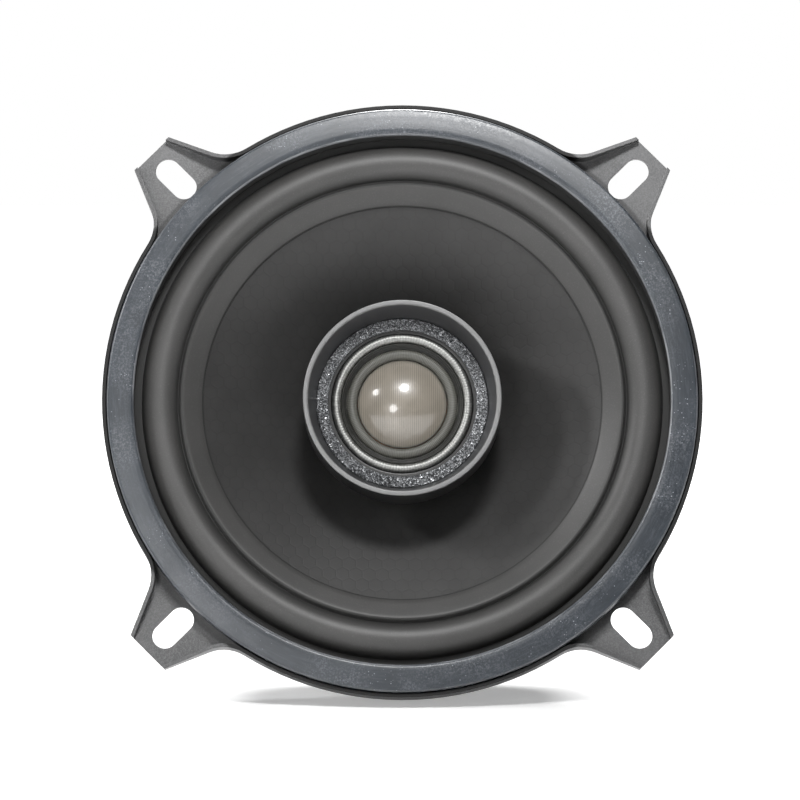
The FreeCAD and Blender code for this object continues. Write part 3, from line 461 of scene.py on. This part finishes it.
def bright_metal():
    """Satin metal ring with fine radial ridges."""
    look = Look("bright_metal", (0.42, 0.42, 0.40), 0.42, metal=1.0)
    _, angle, _ = look.polar()
    ridges = look.maths("SINE", look.maths("MULTIPLY", angle, 150.0))
    wear = look.noise(0.0006, 3.0)
    tone = look.mix(look.ramp(wear, 0.3, 0.7), (0.24, 0.242, 0.233), (0.36, 0.36, 0.348))
    look.colour(look.mix(look.ramp(ridges, -1.0, 1.0, 0.0, 0.45), tone, (0.16, 0.16, 0.155)))
    look.roughness(look.ramp(wear, 0.3, 0.7, 0.42, 0.54))
    look.bump(look.ramp(ridges, -1.0, 1.0), 0.00003)
    return look


def step_plastic():
    """Dark stepped ring with fine turned lines."""
    look = Look("step_plastic", (0.03, 0.03, 0.028), 0.36, specular=0.35)
    radius, angle, _ = look.polar()
    rings = look.maths("SINE", look.maths("MULTIPLY", radius, TAU / 0.00042))
    look.colour(look.mix(look.ramp(rings, 0.2, 1.0), (0.010, 0.010, 0.009), (0.036, 0.036, 0.031)))
    ribs = look.maths("SINE", look.maths("MULTIPLY", angle, 170.0))
    lines = look.ramp(rings, -1.0, 1.0)
    look.bump(look.maths("ADD", lines, look.maths("MULTIPLY", ribs, 0.25)), 0.00005)
    return look


def weave(look, pitch):
    """Height of a fine cloth whose upright threads stand out."""
    x, _, z = look.split(look.place)
    upright = look.maths("SINE", look.maths("MULTIPLY", x, TAU / pitch))
    level = look.maths("SINE", look.maths("MULTIPLY", z, TAU / (pitch * 0.8)))
    return look.ramp(upright, -1.0, 1.0), look.ramp(level, -1.0, 1.0)


def dome_silk():
    """Coated beige silk: glossy, with fine threads showing through."""
    look = Look("dome_silk", (0.30, 0.265, 0.21), 0.30, coat=1.0, specular=0.5)
    upright, level = weave(look, 0.00046)
    cloud = look.noise(0.0035, 2.0)
    tone = look.mix(look.ramp(cloud, 0.3, 0.7), (0.140, 0.124, 0.101), (0.172, 0.153, 0.126))
    tone = look.mix(look.maths("MULTIPLY", upright, 0.6), tone, (0.30, 0.272, 0.228))
    radius, _, _ = look.polar()
    look.colour(look.mix(look.ramp(radius, 0.0090, 0.0100), tone, (0.092, 0.091, 0.080)))
    look.shader.inputs["Coat Roughness"].default_value = 0.12
    height = look.maths("ADD", upright, look.maths("MULTIPLY", level, 0.35))
    look.bump(height, 0.000012)
    return look


def roll_cloth():
    """The dome's grey coated cloth roll."""
    look = Look("roll_cloth", (0.10, 0.10, 0.09), 0.45, specular=0.5)
    _, angle, _ = look.polar()
    threads = look.maths("SINE", look.maths("MULTIPLY", angle, 190.0))
    look.colour(look.mix(look.ramp(threads, -0.6, 1.0), (0.055, 0.055, 0.048), (0.115, 0.114, 0.10)))
    look.bump(look.ramp(threads, -1.0, 1.0), 0.00003)
    return look


def plated_steel(name, dark, light, rough):
    """Zinc-plated turned steel with a faint lathe grain."""
    look = Look(name, dark, rough, metal=1.0)
    radius, _, forward = look.polar()
    lines = look.noise(0.0003, 3.0, 0.6, vector=look.join(radius, forward, 0.0))
    cloud = look.noise(0.008, 3.0)
    look.colour(look.mix(look.ramp(cloud, 0.1, 0.9), dark, light))
    look.roughness(look.ramp(lines, 0.3, 0.7, rough - 0.06, rough + 0.12))
    look.bump(lines, 0.00001, look.soft_edges(0.0002))
    return look


def ferrite():
    """Sintered magnet: charcoal grey with fine pores."""
    look = Look("ferrite", (0.022, 0.022, 0.024), 0.48)
    grain = look.noise(0.0005, 5.0, 0.7)
    cloud = look.noise(0.006, 3.0)
    tone = look.mix(look.ramp(cloud, 0.3, 0.7), (0.018, 0.018, 0.020), (0.034, 0.034, 0.036))
    look.colour(look.mix(look.ramp(grain, 0.6, 0.8), tone, (0.06, 0.06, 0.062)))
    look.bump(grain, 0.00004, look.soft_edges(0.0003))
    return look


def plain_metal(name, dark, light, rough):
    """Rolled or drawn metal with light wear."""
    look = Look(name, dark, rough, metal=1.0)
    wear = look.noise(0.0009, 4.0, 0.6)
    look.colour(look.mix(look.ramp(wear, 0.3, 0.7), dark, light))
    look.roughness(look.ramp(wear, 0.3, 0.7, rough - 0.05, rough + 0.12))
    look.bump(wear, 0.000008, look.soft_edges(0.00012))
    return look


def fibre_board():
    """Dark brown pressed fibre board."""
    look = Look("fibre_board", (0.03, 0.026, 0.023), 0.6)
    fibres = look.noise(0.0006, 5.0, 0.7, stretch=(1.0, 4.0, 1.0))
    look.colour(look.mix(look.ramp(fibres, 0.35, 0.7), (0.022, 0.019, 0.017), (0.055, 0.048, 0.042)))
    look.bump(fibres, 0.00003, look.soft_edges(0.00015))
    return look


def sleeve_film():
    """Shrink sleeve of the capacitor, with a paler stripe round one end."""
    look = Look("sleeve_film", (0.02, 0.035, 0.14), 0.25, coat=0.3)
    x, _, _ = look.split(look.place)
    stripe = look.maths("MULTIPLY", look.ramp(x, 0.0026, 0.0028), look.ramp(x, 0.0041, 0.0039))
    ripple = look.noise(0.0012, 2.0)
    tone = look.mix(look.ramp(ripple, 0.3, 0.7), (0.015, 0.028, 0.12), (0.028, 0.045, 0.17))
    look.colour(look.mix(stripe, tone, (0.45, 0.46, 0.48)))
    look.bump(ripple, 0.00002)
    return look


def wire_skin():
    """Insulation of a pair of wires, black on the -X side and red on the +X side."""
    look = Look("wire_skin", (0.30, 0.012, 0.012), 0.32)
    smear = look.noise(0.0015, 3.0)
    x, _, _ = look.split(look.place)
    side = look.ramp(x, -0.00005, 0.00005)
    pair = look.mix(side, (0.016, 0.016, 0.017), (0.30, 0.014, 0.012))
    look.colour(look.mix(look.maths("MULTIPLY", smear, 0.2), pair, (0.2, 0.1, 0.1)))
    look.bump(smear, 0.00001)
    return look


def copper_winding():
    """Enamelled wire, wound in rows."""
    look = Look("copper_winding", (0.42, 0.14, 0.05), 0.28, metal=1.0, coat=0.4)
    _, _, forward = look.polar()
    rows = look.maths("SINE", look.maths("MULTIPLY", forward, TAU / 0.00022))
    look.colour(look.mix(look.ramp(rows, -1.0, 1.0), (0.26, 0.08, 0.03), (0.55, 0.20, 0.08)))
    look.bump(look.ramp(rows, -1.0, 1.0), 0.00008)
    return look


def spider_cloth():
    """Resin-stiffened cloth in ochre."""
    look = Look("spider_cloth", (0.30, 0.16, 0.06), 0.75, specular=0.25)
    upright, level = weave(look, 0.0006)
    cloth = look.maths("MULTIPLY", upright, level)
    look.colour(look.mix(look.ramp(cloth, 0.05, 0.6), (0.20, 0.10, 0.035), (0.40, 0.23, 0.10)))
    look.bump(cloth, 0.00008)
    return look


def tinsel_braid():
    """Copper braid with a fine twist."""
    look = Look("tinsel_braid", (0.45, 0.22, 0.12), 0.32, metal=1.0)
    x, y, z = look.split(look.place)
    twist = look.maths("SINE", look.maths("MULTIPLY", look.maths("ADD", look.maths("ADD", x, y), z),
                                          TAU / 0.0005))
    look.colour(look.mix(look.ramp(twist, -1.0, 1.0), (0.25, 0.11, 0.06), (0.62, 0.36, 0.22)))
    look.bump(look.ramp(twist, -1.0, 1.0), 0.00006)
    return look


def floor_paint():
    """White table paper with a painted glow, weakest near the speaker and full away from it."""
    look = Look("floor_paint", (0.86, 0.86, 0.86), 0.35, specular=0.4)
    cloud = look.noise(0.05, 2.0)
    look.colour(look.mix(look.ramp(cloud, 0.3, 0.7), (0.80, 0.80, 0.80), (0.84, 0.84, 0.84)))
    look.bump(cloud, 0.00002)
    # Painted light: the paper glows, from a third at 0.10 m from the origin to full at 0.45 m.
    away = look.vector("LENGTH", look.place)
    glow = look.ramp(away, 0.10, 0.45, 0.34, 1.0)
    # Only a tenth of the glow reaches matt surfaces.
    soft = look.add("ShaderNodeLightPath").outputs["Is Diffuse Ray"]
    share = look.maths("SUBTRACT", 1.0, look.maths("MULTIPLY", soft, 0.9))
    glow = look.maths("MULTIPLY", glow, share)
    look.link(glow, look.shader.inputs["Emission Strength"])
    look.shader.inputs["Emission Color"].default_value = (1, 1, 1, 1)
    return look


# ---------------------------------------------------------------- pieces

def stand_for(made, node, body, look):
    """Puts a piece in a CAD node's place, moving with this body."""
    look.dress(made)
    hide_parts(node)
    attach(made, body)


def radial_weights(made, inner, outer):
    """Blend weights that fall from 1 at the inner radius to 0 at the outer one."""
    mesh = made.data
    co = np.zeros(len(mesh.vertices) * 3, np.float32)
    mesh.vertices.foreach_get("co", co)
    co = co.reshape(-1, 3)
    radius = np.hypot(co[:, 0], co[:, 2])
    t = np.clip((outer - radius) / (outer - inner), 0, 1)
    weights = t * t * (3 - 2 * t)
    mesh.attributes["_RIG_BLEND"].data.foreach_set("value", weights.astype(np.float32))


def bend_radially(made, node, body, inner, outer, look):
    """A ring that follows its body at its inner edge and the frame at its outer edge."""
    look.dress(made)
    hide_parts(node)
    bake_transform(made, "frame", body, start=(outer, 0, 0), end=(inner, 0, 0))
    radial_weights(made, inner, outer)


def build_gasket():
    profile = mm([(63.95, 1.5), (63.95, 5.95), (63.6, 6.33), (62.4, 6.48), (60.6, 6.63),
                  (59.4, 6.7), (58.5, 6.62), (58.05, 6.2), (58.05, 1.5)])
    made = lathe("gasket_ring", rounded(profile, 0.3 * MM))
    stand_for(made, "front_gasket", "frame", gasket_rubber())


def surround_profile():
    """Sloping landing, a groove at its edge, a sunken half roll, then an edge under the gasket."""
    centre, height = 52.4, 0.9
    roll = arc(centre, height, 4.12, 154, 8.4, 72)
    under_roll = arc(centre, height, 3.5, 1.6, 178.4, 72)
    landing = [(43.2, 1.18), (43.26, 1.26), (44.5, 1.98), (46.0, 2.86), (47.0, 3.42),
               (47.6, 3.72), (47.9, 3.74), (48.15, 3.52), (48.35, 3.12), (48.55, 2.74)]
    edge = [(56.6, 1.5), (57.2, 1.5), (63.4, 1.5), (63.4, 1.0)]
    under = [(47.75, 1.0), (47.55, 3.0), (43.2, 0.70)]
    return mm(landing + roll + edge + under_roll + under)


def build_surround():
    made = lathe("surround_roll", surround_profile())
    bend_radially(made, "surround", "cone_assembly", 0.0484, 0.0566, surround_rubber())


def build_cone():
    profile = mm([(12.85, -17.4), (30.0, -7.2), (47.2, 3.0), (47.2, 2.2), (30.0, -8.0),
                  (12.85, -18.2)])
    made = lathe("cone_shell", rounded(profile, 0.1 * MM, 3))
    stand_for(made, "cone", "cone_assembly", cone_skin())


def build_housing():
    profile = mm([(21.5, 6.6), (21.4, 7.0), (20.6, 7.0), (20.42, 6.7), (18.75, -0.2), (18.75, -0.9),
                  (15.35, -0.9), (15.35, -7.2), (1.9, -7.2), (1.9, -8.4), (17.0, -8.4),
                  (21.5, -4.6)])
    made = lathe("tweeter_barrel", rounded(profile, 0.3 * MM))
    stand_for(made, "tweeter_housing", "frame", housing_plastic())


def build_texture_ring():
    profile = mm([(18.65, -0.9), (18.65, -0.4), (18.4, -0.3), (16.4, -0.3), (16.15, -0.45),
                  (16.1, -0.9)])
    made = lathe("sparkle_ring", rounded(profile, 0.12 * MM))
    stand_for(made, "tweeter_texture_ring", "frame", sparkle_finish())


def build_face_ring():
    crest = arc(14.35, -1.05, 0.94, 0, 180, 20)
    made = lathe("bright_ring", mm(crest + [(13.41, -1.6), (15.29, -1.6)]))
    stand_for(made, "tweeter_face_ring", "frame", bright_metal())


def build_step_ring():
    profile = mm([(13.4, -2.6), (13.4, -1.1), (13.1, -0.98), (12.98, -1.2), (12.8, -1.25),
                  (12.72, -1.6), (12.45, -1.65), (12.38, -1.95), (12.15, -2.0), (12.15, -2.6)])
    made = lathe("dark_steps", rounded(profile, 0.07 * MM, 3))
    stand_for(made, "tweeter_step_ring", "frame", step_plastic())


def build_dome():
    """A cap, closed at its crown, that meets the roll at its edge."""
    crown_radius, edge_radius, centre, thickness = 14.29, 9.7, -12.6, 0.25
    edge = math.degrees(math.asin(edge_radius / crown_radius))
    outer = arc(0.0, centre, crown_radius, 90, 90 - edge, 48)
    outer[0] = (0.0, outer[0][1])
    inner = arc(0.0, centre - thickness, crown_radius, 90 - edge, 90, 24)
    inner[-1] = (0.0, inner[-1][1])
    inner.insert(0, (edge_radius, -2.34))
    made = lathe("silk_dome", mm(outer + inner), closed=False, segments=256)
    stand_for(made, "tweeter_dome", "dome_assembly", dome_silk())


def build_dome_roll():
    centre = 10.95
    outer = arc(centre, -2.25, 1.13, 176, 4, 24)
    inner = arc(centre, -2.35, 0.92, 4, 176, 24)
    made = lathe("dome_roll", mm(outer + inner), segments=256)
    bend_radially(made, "tweeter_surround", "dome_assembly", 0.0099, 0.0119, roll_cloth())


def build_tinsel():
    """Two leads from the board to the cone's back; they follow the cone at that end."""
    bend_radius, strand_radius = 2.0 * MM, 0.45 * MM
    paths = []
    for side in (-1, 1):
        corners = [(10.6, 24.0, 40.4), (10.6, 24.0, 45.5), (10.6, 14.0, 47.0), (9.0, 9.5, 41.0),
                   (8.0, 10.2, 28.4)]
        corners = [(side * x * MM, y * MM, z * MM) for x, y, z in corners]
        paths.append(rounded(corners, bend_radius, 10, closed=False))
    vertices, faces, shares = sweep(paths, strand_radius)
    made = mesh_object("tinsel_pair", vertices, faces)
    tinsel_braid().dress(made)
    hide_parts("tinsel_leads")
    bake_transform(made, "frame", "cone_assembly", start=(0, 0.024, 0.0404), end=(0, 0.0102, 0.0284))
    share = np.array(shares, np.float32)
    smooth = share * share * (3 - 2 * share)
    made.data.attributes["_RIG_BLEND"].data.foreach_set("value", smooth)


def build_spider():
    """Smooth waves from the coil former's collar to the basket's shelf."""
    inner, outer, steps = 12.85, 38.2, 160
    first_wave, last_wave, fading = 14.2, 33.6, 1.2
    depth, pitch, phase = 0.85, 3.7, 14.4
    top_face, low_face = -19.55, -19.95
    top, low = [], []
    for k in range(steps + 1):
        radius = inner + (outer - inner) * k / steps
        fade_in = max(0.0, (radius - first_wave) / fading)
        fade_out = max(0.0, (last_wave - radius) / fading)
        rise = depth * min(1.0, fade_in, fade_out) * math.sin((radius - phase) / pitch * TAU)
        top.append((radius, top_face + rise))
        low.append((radius, low_face + rise))
    made = lathe("spider_disc", mm(top + low[::-1]))
    bend_radially(made, "spider", "cone_assembly", 0.0145, 0.0335, spider_cloth())


CAD_LOOKS = {
    "basket": steel_paint,
    "magnet": ferrite,
    "terminal_board": fibre_board,
    "crossover_capacitor": sleeve_film,
    "tweeter_wires": wire_skin,
    "voice_coil_winding": copper_winding,
    "tweeter_winding": copper_winding,
}
STEEL_NODES = ("top_plate", "yoke", "post_washer", "tweeter_cup", "tweeter_pole_plate",
               "tweeter_magnet")
BRASS_NODES = ("terminal_positive", "terminal_negative", "terminal_rivets", "post_nut")
ALLOY_NODES = ("tweeter_post", "voice_coil_former", "tweeter_coil_former", "plate_rivets",
               "capacitor_leads")


def dress_cad():
    looks = {}
    for node, make in CAD_LOOKS.items():
        if make not in looks:
            looks[make] = make()
        looks[make].dress(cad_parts[node])
    zinc = plated_steel("zinc_steel", (0.20, 0.195, 0.18), (0.29, 0.285, 0.265), 0.36)
    brass = plain_metal("rolled_brass", (0.36, 0.25, 0.10), (0.50, 0.37, 0.16), 0.32)
    alloy = plain_metal("turned_alloy", (0.30, 0.30, 0.30), (0.42, 0.42, 0.42), 0.34)
    for nodes, look in ((STEEL_NODES, zinc), (BRASS_NODES, brass), (ALLOY_NODES, alloy)):
        for node in nodes:
            look.dress(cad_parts[node])
    looks[steel_paint].dress(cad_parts["terminal_bracket"])


# ---------------------------------------------------------------- stage

CAMERA_DISTANCE = 1.2
CAMERA_BELOW = math.radians(9.8)
CAMERA_LENS = 249.6
CAMERA_SENSOR = 36
AIM = Vector((-0.0005, -0.0052, -0.0003))
FLOOR_SLOPE = math.radians(13.8)
FLOOR_HEIGHT = -0.0662
FLOOR_REACH = 3.0
LIGHT_DISTANCE = 0.9
ROOM_STRENGTH = 0.045


def aimed(made, target):
    """Turns a camera or light towards the target."""
    direction = Vector(target) - made.location
    made.rotation_mode = "QUATERNION"
    made.rotation_quaternion = direction.to_track_quat("-Z", "Y")


def add_camera():
    data = bpy.data.cameras.new("view")
    made = bpy.data.objects.new("view", data)
    bpy.context.scene.collection.objects.link(made)
    back = Vector((0, -math.cos(CAMERA_BELOW), -math.sin(CAMERA_BELOW)))
    made.location = AIM + back * CAMERA_DISTANCE
    aimed(made, AIM)
    data.sensor_width = CAMERA_SENSOR
    data.lens = CAMERA_LENS
    data.clip_start, data.clip_end = 0.01, 100
    bpy.context.scene.camera = made


def area_light(name, place, size, power):
    """A round white lamp that shines at the speaker's origin."""
    data = bpy.data.lights.new(name, "AREA")
    data.shape = "DISK"
    data.size = size
    data.energy = power
    made = bpy.data.objects.new(name, data)
    bpy.context.scene.collection.objects.link(made)
    made.location = place
    aimed(made, (0, 0, 0))


def add_floor():
    corners = []
    for right, away in ((-1, -1), (1, -1), (1, 1), (-1, 1)):
        x, y = right * FLOOR_REACH, away * FLOOR_REACH
        corners.append((x, y, FLOOR_HEIGHT + y * math.tan(FLOOR_SLOPE)))
    made = mesh_object("floor", corners, [(0, 1, 2, 3)], smooth=False)
    floor_paint().dress(made)


def view_direction(right, up, towards):
    """A direction given in the camera's own axes, in the row frame."""
    ahead = Vector((0, math.cos(CAMERA_BELOW), math.sin(CAMERA_BELOW)))
    rise = Vector((0, -math.sin(CAMERA_BELOW), math.cos(CAMERA_BELOW)))
    return Vector((right, 0, 0)) + rise * up - ahead * towards


def room_light():
    """A white room that is seen bright and lights the part softly."""
    world = bpy.data.worlds.new("room")
    bpy.context.scene.world = world
    world.use_nodes = True
    tree = world.node_tree
    soft = tree.nodes["Background"]
    soft.inputs[1].default_value = ROOM_STRENGTH
    soft.inputs[0].default_value = (0.93, 0.96, 1.0, 1)
    seen = tree.nodes.new("ShaderNodeBackground")
    seen.inputs[0].default_value = (1, 1, 1, 1)
    rays = tree.nodes.new("ShaderNodeLightPath")
    either = tree.nodes.new("ShaderNodeMixShader")
    tree.links.new(rays.outputs["Is Camera Ray"], either.inputs[0])
    tree.links.new(soft.outputs[0], either.inputs[1])
    tree.links.new(seen.outputs[0], either.inputs[2])
    tree.links.new(either.outputs[0], tree.nodes["World Output"].inputs[0])


def add_lights():
    area_light("top_light", view_direction(0.06, 0.70, 0.71) * LIGHT_DISTANCE, 0.21, 7.4)
    area_light("left_light", view_direction(-0.83, 0.50, 0.21) * LIGHT_DISTANCE, 0.12, 3.8)
    area_light("left_card", view_direction(-0.70, 0.53, 0.48) * LIGHT_DISTANCE, 0.17, 1.2)
    area_light("front_light", view_direction(-0.275, 0.12, 0.952), 0.24, 2.0)
    area_light("back_light", Vector((0.0, 0.36, 0.85)), 0.22, 13.0)
    room_light()


dress_cad()
build_gasket()
build_surround()
build_cone()
build_housing()
build_texture_ring()
build_face_ring()
build_step_ring()
build_dome()
build_dome_roll()
build_spider()
build_tinsel()
add_floor()
add_lights()
add_camera()
bpy.context.scene.view_settings.view_transform = "Standard"
